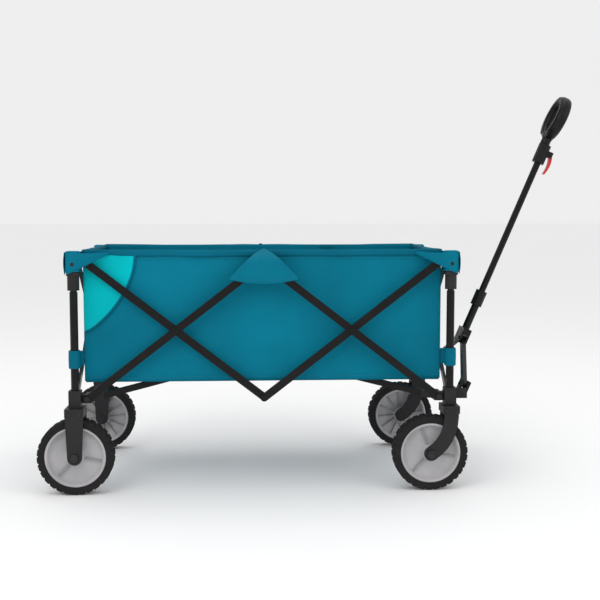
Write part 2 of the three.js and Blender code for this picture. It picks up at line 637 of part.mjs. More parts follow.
// The hub: a plate under the arms' ends and two cheeks beside each. The strap's ears stand on it.
function addHub() {
  const plateTop = HUB_Z - HUB_DROP;
  const plateFoot = plateTop - HUB_PLATE_THICKNESS;
  const pieces = [rod([0, 0, plateFoot], [0, 0, plateTop], HUB_PLATE_RADIUS, HUB_SIDES)];
  const outline = polygon(HUB_CHEEK_OUTLINE);
  for (const front of [REAR, FRONT]) {
    for (const left of [RIGHT, LEFT]) {
      const turn = Math.atan2(left * HALF_WIDTH, front * HALF_LENGTH);
      for (const side of [-1, 1]) {
        const options = { depth: CHEEK, bevelEnabled: false };
        const cheek = new THREE.ExtrudeGeometry(outline, options).rotateX(Math.PI / 2);
        const face = side > 0 ? CHEEK_IN + CHEEK : -CHEEK_IN;
        cheek.translate(0, face, 0).rotateZ(turn).translate(0, 0, HUB_Z);
        pieces.push(solid(cheek));
      }
    }
  }
  const earStart = STRAP_WIDTH / 2 + STRAP_EAR_GAP;
  const earHeights = [plateTop - OVERLAP, HUB_Z + STRAP_EAR_HALF];
  for (const side of [-1, 1]) {
    const width = [side * earStart, side * (earStart + STRAP_EAR)];
    pieces.push(block(width, [-STRAP_EAR_HALF, STRAP_EAR_HALF], earHeights));
  }
  addPart("spider_hub", join(...pieces), "fitting");
}

function addStrap() {
  const half = STRAP_WIDTH / 2;
  const thick = STRAP_THICKNESS / 2;
  const heights = [HUB_Z - STRAP_FOOT, LOWER_PIVOT_Z + PANEL_DROP + FLOOR_CROWN + STRAP_LIFT];
  addPart("fold_strap", block([-half, half], [-thick, thick], heights), "webbing");
}

// ---- Pull handle ----
const YOKE_Y = (YOKE_BOX_Y[0] + YOKE_BOX_Y[1]) / 2;
const YOKE_ARM_LENGTH = (YOKE_Y - YOKE_CENTRE) / Math.cos(YOKE_ARM_ANGLE);
const BLOCK_PIVOT = YOKE_ARM_LIFT + YOKE_ARM_LENGTH * Math.sin(YOKE_ARM_ANGLE);
const YOKE_SLOT = YOKE_ARM_THICKNESS / 2 + YOKE_ARM_CLEARANCE;
const OUTER_TUBE_TOP = BLOCK_PIVOT + BLOCK_CROWN[1] + OUTER_TUBE_LENGTH;
const MID_TUBE_FOOT = BLOCK_PIVOT + MID_TUBE_START;
const MID_TUBE_TOP = MID_TUBE_FOOT + MID_TUBE_LENGTH;
const MID_TUBE_RADIUS = OUTER_TUBE_RADIUS - HANDLE_WALL - SEAT_GAP;
const TOP_TUBE_RADIUS = MID_TUBE_RADIUS - HANDLE_WALL - SEAT_GAP;
const CLAMP_FOOT = MID_TUBE_TOP - CLAMP_LENGTH + CLAMP_OVER_TUBE;
const CLAMP_TOP = CLAMP_FOOT + CLAMP_LENGTH;
const GRIP_FOOT = CLAMP_TOP + NECK_GAP;
const GRIP_CENTRE = GRIP_FOOT + NECK_LENGTH + GRIP_RADIUS;
const TOP_TUBE_TOP = GRIP_FOOT + NECK_LENGTH + TUBE_IN_RING;
const LEVER_HINGE_Z = CLAMP_TOP - LEVER_HINGE_DROP;

const handle = new THREE.Group();
handle.position.set(YOKE_HINGE_X, 0, YOKE_HINGE_Z);
handle.rotation.y = HANDLE_LEAN;
wagon.add(handle);

// In the handle's frame +X is its front, +Z runs up along it.
function addYoke(left) {
  const side = left > 0 ? "_left" : "_right";
  const y = YOKE_BOX_Y.map((value) => left * value);
  const head = YOKE_ARM_LIFT + YOKE_BOX_HEAD;
  const body = block([-YOKE_HALF, YOKE_HALF], y, [-YOKE_BOX_FOOT, head]);
  const across = [left * (YOKE_BOX_Y[0] - OVERLAP), left * (YOKE_BOX_Y[1] + OVERLAP)];
  const slot = block([-YOKE_SLOT, YOKE_SLOT], across, [YOKE_BOX_FOOT, head + OVERLAP]);
  const hingeHole = rod([0, across[0], 0], [0, across[1], 0], PIN_HOLE);
  const pinAt = (x) => [x, left * YOKE_Y, YOKE_ARM_LIFT];
  const pin = rod(pinAt(-YOKE_HALF - PIN_END), pinAt(YOKE_HALF + PIN_END), PIN_RADIUS);
  addPart("yoke_box" + side, join(cut(body, slot, hingeHole), pin), "fitting", handle);

  const armHole = left < 0 ? [0, YOKE_ARM_LENGTH] : [0];
  const bar = tubeBar(YOKE_ARM_LENGTH, ARM_HEIGHT, YOKE_ARM_THICKNESS, armHole, PIN_HOLE);
  const stand = new THREE.Group();
  stand.quaternion.copy(turnTo([0, -left, 0], [0, 0, 1]));
  stand.position.set(0, left * YOKE_Y, YOKE_ARM_LIFT);
  handle.add(stand);
  addPart("yoke_arm" + side, bar, "steel", stand).rotation.z = YOKE_ARM_ANGLE;
}

// The block that the yoke arms meet in, open at its sides and foot, with the outer tube on top.
function addHandleBase() {
  const crown = BLOCK_CROWN.map((height) => BLOCK_PIVOT + height);
  const width = [-BLOCK_HALF, BLOCK_HALF];
  const plateHeights = [BLOCK_PIVOT - BLOCK_PLATE_FOOT, crown[0] + OVERLAP];
  const depth = YOKE_SLOT + BLOCK_PLATE;
  const plate = (side) => block([side * YOKE_SLOT, side * depth], width, plateHeights);
  const pinAt = (x) => [x, -YOKE_CENTRE, BLOCK_PIVOT];
  const pin = rod(pinAt(-depth - PIN_END), pinAt(depth + PIN_END), PIN_RADIUS);
  const sleeve = rod([0, 0, crown[0] + OVERLAP], [0, 0, OUTER_TUBE_TOP], OUTER_TUBE_RADIUS);
  const boreEnds = [[0, 0, MID_TUBE_FOOT - OVERLAP], [0, 0, OUTER_TUBE_TOP + OVERLAP]];
  const bore = rod(...boreEnds, OUTER_TUBE_RADIUS - HANDLE_WALL);
  const body = join(plate(-1), plate(1), block([-depth, depth], width, crown), sleeve, pin);
  addPart("handle_base", cut(body, bore), "steel", handle);
}

function addHandleTubes() {
  const collarFoot = OUTER_TUBE_TOP + SEAT_GAP;
  const fit = MID_TUBE_RADIUS + SEAT_GAP;
  const collar = tube(COLLAR_RADIUS, fit, collarFoot, collarFoot + COLLAR_LENGTH);
  addPart("handle_collar", collar, "fitting", handle);
  const midBore = MID_TUBE_RADIUS - HANDLE_WALL;
  const midTube = tube(MID_TUBE_RADIUS, midBore, MID_TUBE_FOOT, MID_TUBE_TOP);
  addPart("handle_mid_tube", midTube, "steel", handle);
  const topFoot = TOP_TUBE_TOP - TOP_TUBE_LENGTH;
  const topTube = tube(TOP_TUBE_RADIUS, TOP_TUBE_RADIUS - HANDLE_WALL, topFoot, TOP_TUBE_TOP);
  addPart("handle_top_tube", topTube, "steel", handle);
}

function addClamp() {
  const seat = MID_TUBE_TOP + SEAT_GAP;
  const sleeve = turned([
    [MID_TUBE_RADIUS + SEAT_GAP, CLAMP_FOOT], [CLAMP_RADIUS, CLAMP_FOOT], [CLAMP_RADIUS, CLAMP_TOP],
    [TOP_TUBE_RADIUS + SEAT_GAP, CLAMP_TOP], [TOP_TUBE_RADIUS + SEAT_GAP, seat],
    [MID_TUBE_RADIUS + SEAT_GAP, seat],
  ]);
  const inner = LEVER_HALF_WIDTH + LEVER_GAP;
  const outer = inner + LEVER_CHEEK;
  const depth = [MID_TUBE_RADIUS + LEVER_CHEEK, LEVER_HINGE_X + LEVER_EYE_RADIUS];
  const heights = [LEVER_HINGE_Z - LEVER_CHEEK_HALF, LEVER_HINGE_Z + LEVER_CHEEK_HALF];
  const cheek = (side) => block(depth, [side * inner, side * outer], heights);
  const pinAt = (y) => [LEVER_HINGE_X, y, LEVER_HINGE_Z];
  const pin = rod(pinAt(-outer), pinAt(outer), LEVER_PIN_RADIUS);
  addPart("handle_clamp", join(sleeve, cheek(-1), cheek(1), pin), "fitting", handle);
}

// A curved lever that hangs from the clamp's hinge.
function addLever() {
  const outline = new THREE.Shape();
  outline.moveTo(-LEVER_EYE_RADIUS, 0);
  outline.absarc(0, 0, LEVER_EYE_RADIUS, Math.PI, 0, true);
  outline.quadraticCurveTo(LEVER_BULGE, -LEVER_BEND, LEVER_TIP[1], -LEVER_LENGTH);
  outline.lineTo(LEVER_TIP[0], -LEVER_LENGTH);
  outline.quadraticCurveTo(LEVER_BULGE / 2, -LEVER_BEND, -LEVER_EYE_RADIUS, 0);
  const width = [-LEVER_HALF_WIDTH, LEVER_HALF_WIDTH];
  const eye = rod([0, 2 * width[0], 0], [0, 2 * width[1], 0], LEVER_PIN_RADIUS + PIN_CLEARANCE);
  const lever = addPart("clamp_lever", cut(slabXZ(outline, ...width), eye), "lever", handle);
  lever.position.set(LEVER_HINGE_X, 0, LEVER_HINGE_Z);
}

function addGrip() {
  const outline = new THREE.Shape();
  outline.absarc(0, 0, GRIP_RADIUS, 0, 2 * Math.PI, false);
  outline.holes.push(new THREE.Path().absarc(0, 0, GRIP_HOLE_RADIUS, 0, 2 * Math.PI, true));
  const options = { depth: GRIP_THICKNESS, bevelEnabled: false, curveSegments: GRIP_SEGMENTS };
  const ring = new THREE.ExtrudeGeometry(outline, options).translate(0, 0, -GRIP_THICKNESS / 2);
  ring.rotateX(Math.PI / 2).rotateZ(Math.PI / 2).translate(0, 0, GRIP_CENTRE);
  const neckTop = GRIP_CENTRE - GRIP_RADIUS + NECK_LAP;
  const neck = rod([0, 0, GRIP_FOOT], [0, 0, neckTop], NECK_RADIUS);
  const boreEnds = [[0, 0, GRIP_FOOT - OVERLAP], [0, 0, TOP_TUBE_TOP + SEAT_GAP]];
  const bore = rod(...boreEnds, TOP_TUBE_RADIUS + SEAT_GAP);
  addPart("grip_ring", cut(join(solid(ring), neck), bore), "grip", handle);
}

// ---- Fabric basket ----
const PANEL_OUT_Y = sideLayer(0) - SIDE_PANEL_GAP;
const PANEL_OUT_X = endLayer(0) - END_PANEL_GAP;
const PANEL_Z = [LOWER_PIVOT_Z + PANEL_DROP, UPPER_PIVOT_Z + PANEL_RISE];

function addPanels() {
  const innerY = PANEL_OUT_Y - PANEL_THICKNESS;
  const innerX = PANEL_OUT_X - PANEL_THICKNESS;
  for (const left of [RIGHT, LEFT]) {
    const side = block([-PANEL_OUT_X, PANEL_OUT_X], [left * innerY, left * PANEL_OUT_Y], PANEL_Z);
    addPart("side_panel" + (left > 0 ? "_left" : "_right"), side, "fabric");
  }
  for (const front of [REAR, FRONT]) {
    const width = innerY - SEAT_GAP;
    const end = block([front * innerX, front * PANEL_OUT_X], [-width, width], PANEL_Z);
    addPart("end_panel" + (front > 0 ? "_front" : "_rear"), end, "fabric");
  }
}

// The floor mat: a low hipped sheet over the spider, with a slot for the strap.
function addFloor() {
  const x = PANEL_OUT_X - PANEL_THICKNESS - SEAT_GAP;
  const y = PANEL_OUT_Y - PANEL_THICKNESS - SEAT_GAP;
  const hip = (height) => {
    const foot = PANEL_Z[0];
    const base = new THREE.BufferGeometry();
    const corners = [];
    const levels = [[x, y, foot - PANEL_THICKNESS], [x, y, foot], [...FLOOR_CROWN_HALF, height]];
    for (const [hx, hy, z] of levels) {
      corners.push([-hx, -hy, z], [hx, -hy, z], [hx, hy, z], [-hx, hy, z]);
    }
    const faces = [0, 2, 1, 0, 3, 2, 8, 9, 10, 8, 10, 11];
    for (const ring of [0, 4]) {
      for (let i = 0; i < 4; i++) {
        const next = (i + 1) % 4;
        faces.push(ring + i, ring + next, ring + 4 + next, ring + i, ring + 4 + next, ring + 4 + i);
      }
    }
    base.setAttribute("position", new THREE.Float32BufferAttribute(corners.flat(), 3));
    base.setIndex(faces);
    return solid(base);
  };
  const top = PANEL_Z[0] + FLOOR_CROWN;
  const upper = hip(top);
  const lower = hip(top).translate(0, 0, -PANEL_THICKNESS);
  const slotHalf = STRAP_WIDTH / 2 + STRAP_SLOT_GAP;
  const slotDepth = [-STRAP_SLOT_HALF, STRAP_SLOT_HALF];
  const slot = block([-slotHalf, slotHalf], slotDepth, [0, UPPER_PIVOT_Z]);
  addPart("floor_mat", cut(upper, lower, slot), "fabric");
}

// ---- Assembly ----
for (const front of [REAR, FRONT]) {
  for (const left of [RIGHT, LEFT]) {
    const corner = cornerName(front, left);
    addPart("lower_fitting_" + corner, lowerFitting(front, left), "fitting");
    const post = tube(POST_RADIUS, POST_RADIUS - POST_WALL, LOWER_PIVOT_Z + SEAT_GAP, POST_TOP_Z);
    addPart("post_" + corner, post, "steel").position.set(front * POST_X, left * POST_Y, 0);
    addPart("top_fitting_" + corner, topFitting(front, left), "fitting");
    addFork(front, left);
    addWheel(front, left);
    addSpiderArm(front, left);
  }
  addEndLinks(front);
}
for (const left of [RIGHT, LEFT]) {
  addSideLinks(left);
  addTopHinge(left);
  addYoke(left);
}
addHub();
addStrap();
addHandleBase();
addHandleTubes();
addClamp();
addLever();
addGrip();
addPanels();
addFloor();

wagon.updateMatrixWorld(true);
const bounds = new THREE.Box3().setFromObject(wagon, true);
wagon.position.set(-(bounds.min.x + bounds.max.x) / 2, 0, -bounds.min.z);

export default wagon;
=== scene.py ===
import math

import bpy
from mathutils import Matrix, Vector, noise


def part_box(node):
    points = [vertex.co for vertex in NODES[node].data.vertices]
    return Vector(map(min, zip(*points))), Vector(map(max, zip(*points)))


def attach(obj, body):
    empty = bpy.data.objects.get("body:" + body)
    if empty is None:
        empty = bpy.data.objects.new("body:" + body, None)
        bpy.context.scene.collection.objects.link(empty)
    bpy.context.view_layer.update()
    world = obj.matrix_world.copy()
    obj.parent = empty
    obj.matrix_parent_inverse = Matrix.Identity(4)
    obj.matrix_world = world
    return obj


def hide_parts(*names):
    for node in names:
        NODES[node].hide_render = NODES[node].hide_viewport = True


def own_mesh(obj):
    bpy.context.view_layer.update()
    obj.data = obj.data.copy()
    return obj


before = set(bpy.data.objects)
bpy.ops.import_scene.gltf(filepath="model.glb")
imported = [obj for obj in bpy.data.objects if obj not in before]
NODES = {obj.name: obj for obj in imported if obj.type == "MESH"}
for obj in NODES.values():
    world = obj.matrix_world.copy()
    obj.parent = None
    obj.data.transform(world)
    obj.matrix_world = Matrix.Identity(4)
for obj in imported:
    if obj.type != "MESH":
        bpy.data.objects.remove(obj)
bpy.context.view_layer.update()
SIDES = {"right": -1, "left": 1}
ENDS = {"rear": -1, "front": 1}

# ---- Places worked out from the frame ----
panel_low, panel_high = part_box("side_panel_right")
MIDDLE_X = (panel_low.x + panel_high.x) / 2
HALF_X = (panel_high.x - panel_low.x) / 2
HALF_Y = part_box("side_panel_left")[1].y
PANEL_FOOT, RIM_Z = panel_low.z, panel_high.z
FLAP_CLEARANCE = 0.0035  # from the top hinge's outer face to the centre flap
FLAP_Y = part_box("top_hinge_left")[1].y + FLAP_CLEARANCE
floor_low, floor_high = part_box("floor_mat")
WHEEL_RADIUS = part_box("tyre_rear_left")[1].z / 2

# ---- Cloth sizes, in metres ----
PANEL_CLOTH = 0.0016  # thickness of the panels and centre flaps
RIM_BINDING = 0.015  # height of the bound hem
LEAST_INWARD = 0.0008  # cloth stays at least this far inside the basket's outer faces


def post_centre(end, side):
    low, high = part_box(f"post_{end}_{side}")
    return (low + high) / 2


# ---- Materials ----
def node_material(name, colour, specular=0.2, coat=0.0):
    """A principled material with its fixed numbers set, and the coordinates its textures read."""
    material = bpy.data.materials.new(name)
    material.use_nodes = True
    shader = material.node_tree.nodes["Principled BSDF"]
    shader.inputs["Base Color"].default_value = (*colour, 1)
    shader.inputs["Coat Weight"].default_value = coat
    shader.inputs["Specular IOR Level"].default_value = specular
    place = material.node_tree.nodes.new("ShaderNodeTexCoord")
    return material, material.node_tree, shader, place.outputs["Object"]


def shade(colour, share):
    """The colour made darker or lighter."""
    return tuple(min(1, c * share) for c in colour)


def add_noise(tree, place, scale, detail=4.0, stretch=(1, 1, 1)):
    mapping = tree.nodes.new("ShaderNodeMapping")
    mapping.inputs["Scale"].default_value = stretch
    texture = tree.nodes.new("ShaderNodeTexNoise")
    texture.inputs["Scale"].default_value = scale
    texture.inputs["Detail"].default_value = detail
    tree.links.new(place, mapping.inputs["Vector"])
    tree.links.new(mapping.outputs["Vector"], texture.inputs["Vector"])
    return texture.outputs["Fac"]


def ramp(tree, value, low, high, spread=(0.3, 0.7)):
    """Two colours, or two grey levels, across a texture's middle range."""
    node = tree.nodes.new("ShaderNodeValToRGB")
    for element, at, colour in zip(node.color_ramp.elements, spread, (low, high)):
        element.position = at
        element.color = (*colour, 1) if isinstance(colour, tuple) else (colour, colour, colour, 1)
    tree.links.new(value, node.inputs["Fac"])
    return node.outputs["Color"]


def add_bump(tree, shader, height, distance, strength=1.0, under=None):
    bump = tree.nodes.new("ShaderNodeBump")
    bump.inputs["Distance"].default_value = distance
    bump.inputs["Strength"].default_value = strength
    tree.links.new(height, bump.inputs["Height"])
    if under is not None:
        tree.links.new(under, bump.inputs["Normal"])
    tree.links.new(bump.outputs["Normal"], shader.inputs["Normal"])
    return bump.outputs["Normal"]


def weave(tree, place, pitch):
    """Threads that cross: bands along X and along Z, the stronger one on top."""
    heights = []
    for direction in ("X", "Z"):
        wave = tree.nodes.new("ShaderNodeTexWave")
        wave.bands_direction = direction
        wave.inputs["Scale"].default_value = math.pi / (10 * pitch)
        wave.inputs["Distortion"].default_value = 0.6
        wave.inputs["Detail Scale"].default_value = 2.0
        tree.links.new(place, wave.inputs["Vector"])
        heights.append(wave.outputs["Fac"])
    over = tree.nodes.new("ShaderNodeMath")
    over.operation = "MAXIMUM"
    tree.links.new(heights[0], over.inputs[0])
    tree.links.new(heights[1], over.inputs[1])
    return over.outputs[0]


def cloth(name, colour, pitch=0.0016):
    """Coated plain-weave polyester: cloudy tone, faint threads and soft handling creases."""
    material, tree, shader, place = node_material(name, colour, specular=0.05)
    clouds = add_noise(tree, place, scale=5.0, detail=5.0)
    tone = ramp(tree, clouds, shade(colour, 0.84), shade(colour, 1.12))
    tree.links.new(tone, shader.inputs["Base Color"])
    wear = add_noise(tree, place, scale=60.0, detail=3.0)
    tree.links.new(ramp(tree, wear, 0.5, 0.68), shader.inputs["Roughness"])
    creases = add_noise(tree, place, scale=9.0, detail=6.0, stretch=(1, 1, 0.45))
    soft = add_bump(tree, shader, creases, distance=0.006, strength=0.35)
    add_bump(tree, shader, weave(tree, place, pitch), distance=0.0004, strength=0.5, under=soft)
    return material


def plastic(name, colour, grain=900.0, rough=(0.42, 0.6), coat=0.0):
    """Moulded plastic: a fine spark-eroded grain and slightly uneven gloss."""
    material, tree, shader, place = node_material(name, colour, specular=0.18, coat=coat)
    clouds = add_noise(tree, place, scale=14.0, detail=4.0)
    tone = ramp(tree, clouds, shade(colour, 0.85), shade(colour, 1.12))
    tree.links.new(tone, shader.inputs["Base Color"])
    gloss = add_noise(tree, place, scale=80.0)
    tree.links.new(ramp(tree, gloss, *rough), shader.inputs["Roughness"])
    add_bump(tree, shader, add_noise(tree, place, grain, detail=2.0), distance=0.0003, strength=0.5)
    return material


def powder_coat(name, colour):
    """Black powder coat on steel: orange-peel bump and rubbed, shinier patches."""
    material, tree, shader, place = node_material(name, colour, specular=0.16, coat=0.06)
    rubbed = add_noise(tree, place, scale=22.0, detail=6.0, stretch=(1, 1, 2.5))
    tone = ramp(tree, rubbed, colour, shade(colour, 1.9), spread=(0.45, 0.8))
    tree.links.new(tone, shader.inputs["Base Color"])
    tree.links.new(ramp(tree, rubbed, 0.38, 0.22), shader.inputs["Roughness"])
    peel = add_noise(tree, place, scale=420.0, detail=2.0)
    add_bump(tree, shader, peel, distance=0.0003, strength=0.4)
    return material


def tread_compound(name, colour):
    """Tyre compound: dull, dusty in its low spots."""
    material, tree, shader, place = node_material(name, colour)
    dust = add_noise(tree, place, scale=35.0, detail=6.0)
    tree.links.new(ramp(tree, dust, colour, shade(colour, 1.7)), shader.inputs["Base Color"])
    tree.links.new(ramp(tree, dust, 0.72, 0.92), shader.inputs["Roughness"])
    pits = add_noise(tree, place, scale=600.0, detail=3.0)
    add_bump(tree, shader, pits, distance=0.0004, strength=0.6)
    return material


def backdrop_material():
    material, tree, shader, place = node_material("studio_floor", (0.96, 0.96, 0.96), specular=0.0)
    patches = add_noise(tree, place, scale=0.6, detail=2.0)
    tone = ramp(tree, patches, (0.955, 0.955, 0.955), (0.965, 0.965, 0.965))
    tree.links.new(tone, shader.inputs["Base Color"])
    shader.inputs["Roughness"].default_value = 1.0
    return material


TEAL = cloth("teal_polyester", (0.0015, 0.172, 0.262))
TEAL_LINING = cloth("teal_lining", (0.0015, 0.135, 0.21))
TEAL_BINDING = cloth("teal_binding", (0.0015, 0.128, 0.20), pitch=0.0022)
AQUA = cloth("aqua_pocket", (0.0, 0.47, 0.52))
THREAD = cloth("thread", (0.02, 0.22, 0.30), pitch=0.0008)
WEBBING = cloth("black_webbing", (0.012, 0.012, 0.013), pitch=0.0025)
STEEL = powder_coat("black_powder_coat", (0.0045, 0.004, 0.0042))
BLACK_PLASTIC = plastic("black_plastic", (0.005, 0.005, 0.0053), rough=(0.34, 0.5), coat=0.1)
GREY_PLASTIC = plastic("charcoal_plastic", (0.022, 0.021, 0.0225))
RIM_PLASTIC = plastic("rim_grey", (0.42, 0.41, 0.42), grain=500.0, rough=(0.38, 0.55))
HUB_PLASTIC = plastic("hub_grey", (0.28, 0.275, 0.28), grain=500.0)
TYRE = tread_compound("tyre_compound", (0.011, 0.0102, 0.0108))
RED_PLASTIC = plastic("red_plastic", (0.52, 0.02, 0.02), rough=(0.3, 0.42), coat=0.3)
RIVET = powder_coat("rivet", (0.02, 0.02, 0.021))

CAD_LOOKS = {
    "link": STEEL, "end_link": STEEL, "post": STEEL, "spider_arm": STEEL, "spider_hub": BLACK_PLASTIC,
    "lower_fitting": GREY_PLASTIC, "top_fitting": GREY_PLASTIC, "top_hinge": GREY_PLASTIC,
    "fixed_fork": GREY_PLASTIC, "caster_fork": GREY_PLASTIC, "yoke_box": BLACK_PLASTIC, "yoke_arm": STEEL,
    "handle_base": BLACK_PLASTIC, "handle_collar": BLACK_PLASTIC, "handle_clamp": BLACK_PLASTIC,
    "handle_mid_tube": STEEL, "handle_top_tube": STEEL, "clamp_lever": RED_PLASTIC, "fold_strap": WEBBING,
}
# Bevel width and segments. Links and arms stand for flattened tubes, so their edges are round.
TUBE_EDGE = (0.0027, 4)
MOULDED_EDGE = (0.0009, 2)
SHARP_EDGE = math.radians(52)


def dress_cad_nodes():
    """Each CAD node keeps its shape and gets its material, soft edges and smooth round faces."""
    for name, node in NODES.items():
        look = next((m for key, m in CAD_LOOKS.items() if name.startswith(key)), None)
        if look is None:
            continue
        node.data.materials.clear()
        node.data.materials.append(look)
        for face in node.data.polygons:
            face.use_smooth = True
        tubular = "link_" in name or name.startswith(("spider_arm", "yoke_arm"))
        bevel = node.modifiers.new("soft edges", "BEVEL")
        bevel.width, bevel.segments = TUBE_EDGE if tubular else MOULDED_EDGE
        bevel.limit_method = "ANGLE"
        bevel.angle_limit = SHARP_EDGE
        bevel.harden_normals = True


# ---- Mesh making ----
def make_piece(name, vertices, faces, material, body, slot, thickness=0.0, offset=0.0):
    mesh = bpy.data.meshes.new(name)
    mesh.from_pydata([tuple(v) for v in vertices], [], faces)
    mesh.validate()
    mesh.materials.append(material)
    for face in mesh.polygons:
        face.use_smooth = True
    piece = bpy.data.objects.new(name, mesh)
    bpy.context.scene.collection.objects.link(piece)
    if thickness:
        solidify = piece.modifiers.new("cloth thickness", "SOLIDIFY")
        solidify.thickness = thickness
        solidify.offset = offset
    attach(piece, body)
    return piece


def grid_mesh(columns, rows, point):
    """Vertices and faces of a sheet; point(u, v) gives a place for u and v from 0 to 1."""
    vertices = [point(i / columns, j / rows) for j in range(rows + 1) for i in range(columns + 1)]
    wide = columns + 1
    faces = [
        (j * wide + i, j * wide + i + 1, (j + 1) * wide + i + 1, (j + 1) * wide + i)
        for j in range(rows) for i in range(columns)
    ]
    return vertices, faces


def loft(rings, close_ends=True, loop=False):
    """Rings of the same number of points joined into a tube, its ends closed or meeting."""
    count = len(rings[0])
    vertices = [point for ring in rings for point in ring]
    faces = []
    spans = len(rings) if loop else len(rings) - 1
    for j in range(spans):
        near, far = j * count, ((j + 1) % len(rings)) * count
        faces += [(near + i, near + (i + 1) % count, far + (i + 1) % count, far + i) for i in range(count)]
    if close_ends and not loop:
        faces += [tuple(reversed(range(count))), tuple(range((len(rings) - 1) * count, len(rings) * count))]
    return vertices, faces


def on_circle(count):
    """The angles of so many points round a circle."""
    return [2 * math.pi * k / count for k in range(count)]


def squared(angle, power):
    """How far out a rounded square's edge is at this angle, against a circle's."""
    return (abs(math.cos(angle)) ** power + abs(math.sin(angle)) ** power) ** (-1 / power)


def squircle(centre, half, z, power=4.0):
    """A rounded square of points at one height."""
    points = []
    for angle in on_circle(32):
        reach = half * squared(angle, power)
        points.append(Vector((centre.x + reach * math.cos(angle), centre.y + reach * math.sin(angle), z)))
    return points


def bar_faces(base):
    """The six faces of a bar whose two ends are four vertices each."""
    sides = [(base + k, base + (k + 1) % 4, base + 4 + (k + 1) % 4, base + 4 + k) for k in range(4)]
    return sides + [(base + 3, base + 2, base + 1, base), (base + 4, base + 5, base + 6, base + 7)]


def flat_shaded(piece):
    for face in piece.data.polygons:
        face.use_smooth = False


def stitch_row(name, path, body, slot="fabric", dash=0.0042, gap=0.0026, radius=0.0006):
    """Short raised threads along a line of points."""
    vertices, faces = [], []
    step = dash + gap
    for start, end in zip(path, path[1:]):
        run = end - start
        count = max(1, round(run.length / step))
        along = run.normalized()
        side = along.orthogonal().normalized() * radius
        lift = along.cross(side).normalized() * radius
        for i in range(count):
            a = start + run * (i / count)
            b = a + along * dash
            faces += bar_faces(len(vertices))
            for at in (a, b):
                vertices += [at + side, at + lift, at - side, at - lift]
    return make_piece(name, vertices, faces, THREAD, body, slot)


def folds_with_side(piece):
    """Gives the piece its own copy of its mesh."""
    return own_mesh(piece)


def folds_with_end(piece):
    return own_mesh(piece)


# ---- Basket ----
BROAD_FOLDS, BROAD_UP = 6, 3.2  # noise frequencies per metre, along the cloth and up it
FINE_FOLDS, FINE_UP = 19, 8
FINE_SHARE = 0.35


def crumple(x, y, z, depth, seed):
    """Long soft folds in hanging cloth, about as deep as depth either way."""
    broad = noise.noise(Vector((x * BROAD_FOLDS + seed, y * BROAD_FOLDS, z * BROAD_UP)))
    fine = noise.noise(Vector((x * FINE_FOLDS, y * FINE_FOLDS + seed, z * FINE_UP)))
    return depth * (broad + FINE_SHARE * fine)


def gather(across, up):
    """How strongly cloth bunches: most at the upper corners, where the rim hangs from the caps."""
    everywhere, at_corners, at_rim = 0.35, 1.3, 0.5
    corner = abs(2 * across - 1) ** 4
    return everywhere + at_corners * corner * up ** 2 + at_rim * up ** 5


def panel_inset(u, v, at, edge, sag, depth, seed):
    """How far inside the basket's outer face a panel hangs: edge, plus a sag and folds where it is free."""
    free = math.sin(math.pi * u) * math.sin(math.pi * min(1, v * 1.02))
    inset = edge + sag * free + crumple(*at, depth, seed) * free * gather(u, v)
    return max(LEAST_INWARD, inset)


def side_panel(side):
    sign = SIDES[side]
    body = f"top_rear_{side}"

    def place(u, v):
        x = MIDDLE_X + HALF_X * (2 * u - 1)
        z = PANEL_FOOT + (RIM_Z - PANEL_FOOT) * v
        inset = panel_inset(u, v, (x, sign, z), edge=0.004, sag=0.004, depth=0.011, seed=3 + sign)
        return Vector((x, sign * (HALF_Y - inset), z))

    mesh = grid_mesh(150, 56, place)
    panel = make_piece(f"side_cloth_{side}", *mesh, TEAL, body, "fabric", PANEL_CLOTH)
    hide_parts(f"side_panel_{side}")
    folds_with_side(panel)
    rows = []
    half_row = 12
    above_foot, below_binding, reach = 0.008, 0.004, 0.99
    for height in (PANEL_FOOT + above_foot, RIM_Z - RIM_BINDING - below_binding):
        path = [Vector((MIDDLE_X + HALF_X * (t / half_row - 1) * reach, sign * HALF_Y, height))
                for t in range(2 * half_row + 1)]
        rows.append(folds_with_side(stitch_row(f"side_stitches_{side}_{len(rows)}", path, body)))


def end_panel(end):
    sign = ENDS[end]
    body = f"top_{end}_right"
    side_gap = 0.003

    def place(u, v):
        y = (HALF_Y - side_gap) * (2 * u - 1)
        z = PANEL_FOOT + (RIM_Z - PANEL_FOOT) * v
        inset = panel_inset(u, v, (sign * 2, y, z), edge=0.002, sag=0.009, depth=0.016, seed=9 + sign)
        return Vector((MIDDLE_X + sign * (HALF_X - inset), y, z))

    mesh = grid_mesh(84, 56, place)
    panel = make_piece(f"end_cloth_{end}", *mesh, TEAL, body, "fabric", PANEL_CLOTH)
    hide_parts(f"end_panel_{end}")
    folds_with_end(panel)


def rim_binding(name, start, end, outward, body, folds):
    """The bound hem over a panel's rim: a flattened roll that wanders a little."""
    half_thick, half_tall, roundness = 0.0032, RIM_BINDING / 2, 0.6
    wander_out, wander_up, sag = 0.004, 0.003, 0.002
    steps = 90
    rings = []
    for i in range(steps + 1):
        t = i / steps
        centre = start.lerp(end, t)
        slack = math.sin(math.pi * t)
        centre = centre + outward * crumple(centre.x * 2, centre.y * 2, 0, wander_out, 5) * slack
        centre.z += crumple(centre.x, centre.y, 4, wander_up, 2) * slack - sag * slack
        ring = []
        for angle in on_circle(12):
            rise = math.copysign(abs(math.sin(angle)) ** roundness, math.sin(angle))
            ring.append(centre + outward * half_thick * math.cos(angle) + Vector((0, 0, half_tall)) * rise)
        rings.append(ring)
    return folds(make_piece(name, *loft(rings), TEAL_BINDING, body, "fabric"))


